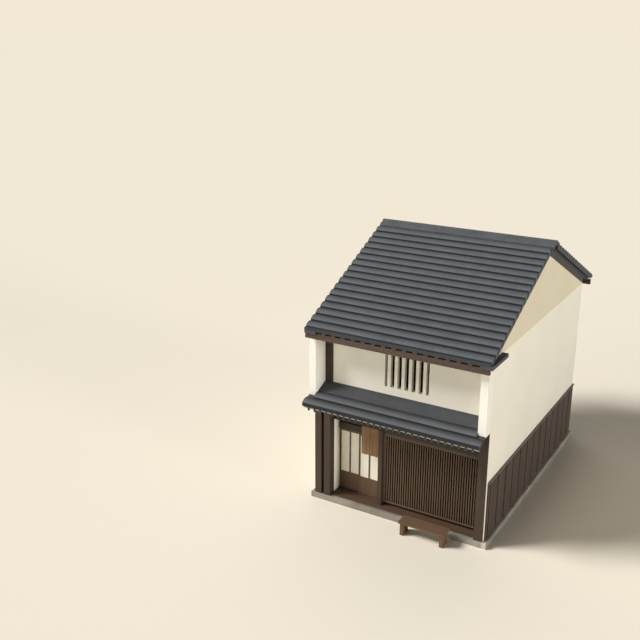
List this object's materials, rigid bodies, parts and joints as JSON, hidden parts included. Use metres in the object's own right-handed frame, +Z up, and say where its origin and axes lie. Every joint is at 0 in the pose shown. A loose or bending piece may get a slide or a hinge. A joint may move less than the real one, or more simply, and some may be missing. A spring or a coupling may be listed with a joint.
{
  "type": "machiya townhouse",
  "caption": "Machiya townhouse with a timber lattice front, sliding paper doors, plaster-barred upper window, wing walls, pent roof and tiled gable roof.",
  "frame": {"origin": "on the ground under the middle of the ridge, midway between the side walls", "axes": "+X along the street front to the right as seen from the street, +Y from the street to the rear, +Z up"},
  "size_m": [5.268, 8.93, 7.2944],
  "materials": {
    "grey_stone": "rough cut",
    "packed_earth": "rough",
    "wall_plaster": "matte",
    "white_plaster": "matte",
    "clay_panel": "matte",
    "dark_timber": "stained",
    "grey_timber": "weathered",
    "bench_timber": "weathered",
    "brown_timber": "stained",
    "lattice_timber": "stained",
    "door_timber": "stained",
    "door_paper": "matte",
    "floor_boards": "planed",
    "wainscot_boards": "stained",
    "roof_tile": "satin",
    "roof_deck": "weathered",
    "curtain_cloth": "woven",
    "bamboo": "satin"
  },
  "bodies": {
    "house": {"stone_plinth": "grey_stone", "ground_floor": "packed_earth", "right_gable_wall": "wall_plaster", "left_party_wall": "wall_plaster", "rear_wall": "wall_plaster", "upper_front_wall": "wall_plaster", "front_window_bars": "wall_plaster", "rear_window_bars": "wall_plaster", "recess_walls": "wall_plaster", "wing_walls": "white_plaster", "pent_eave_boards": "white_plaster", "gable_panels": "clay_panel", "end_posts": "dark_timber", "door_post": "dark_timber", "centre_post": "dark_timber", "upper_columns": "dark_timber", "front_beam": "dark_timber", "pent_roof_beam": "dark_timber", "door_lintel": "dark_timber", "transom_beam": "dark_timber", "front_sill": "dark_timber", "lattice_head_rail": "dark_timber", "ridge_beam": "dark_timber", "door_rails": "dark_timber", "front_rafters": "grey_timber", "rear_rafters": "grey_timber", "pent_rafters": "grey_timber", "street_bench": "bench_timber", "front_eave_beam": "brown_timber", "rear_eave_beam": "brown_timber", "front_lattice": "lattice_timber", "upper_floor": "floor_boards", "gable_wainscot": "wainscot_boards", "rear_wainscot": "wainscot_boards", "front_roof_tiles": "roof_tile", "rear_roof_tiles": "roof_tile", "ridge_tiles": "roof_tile", "pent_roof_tiles": "roof_tile", "pent_roof_flashing": "roof_tile", "eave_caps": "roof_tile", "front_roof_deck": "roof_deck", "rear_roof_deck": "roof_deck", "pent_roof_deck": "roof_deck", "verge_rafters": "roof_deck", "door_curtain": "curtain_cloth", "curtain_rod": "bamboo"},
    "left_door": {"left_door_frame": "door_timber", "left_door_paper": "door_paper"},
    "right_door": {"right_door_frame": "door_timber", "right_door_paper": "door_paper"}
  },
  "joints": [
    {"name": "left_door_slide", "type": "slide", "parent": "house", "child": "left_door", "axis": [1, 0, 0], "range_m": [0, 0.629]},
    {"name": "right_door_slide", "type": "slide", "parent": "house", "child": "right_door", "axis": [-1, 0, 0], "range_m": [0, 0.629]}
  ]
}
